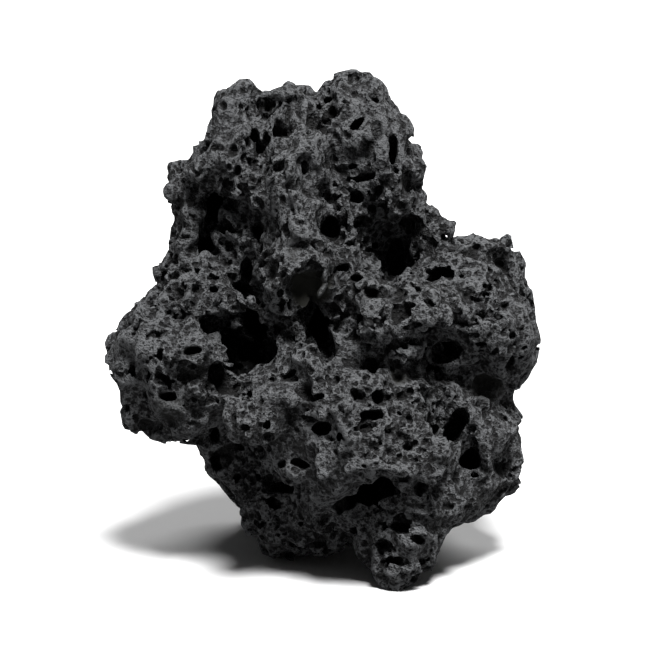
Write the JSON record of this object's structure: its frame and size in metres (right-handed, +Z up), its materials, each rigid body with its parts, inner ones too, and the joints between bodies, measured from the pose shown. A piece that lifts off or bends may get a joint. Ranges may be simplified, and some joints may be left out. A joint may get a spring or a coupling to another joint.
{
  "type": "lava rock",
  "caption": "Upright lump of dark vesicular basalt, broad at the waist and narrow at the crown, pitted with caves, standing on worn feet.",
  "frame": {"origin": "middle of the bounding box, on the surface that the feet rest on", "axes": "+Z up, +X to the stone's right as its broad pitted face is looked at, +Y towards its back"},
  "size_m": [0.13, 0.108, 0.148],
  "materials": {
    "basalt": "rough, finely granular, charcoal grey with paler dusted tops"
  },
  "bodies": {
    "root": {"lava_rock": "basalt"}
  },
  "joints": []
}
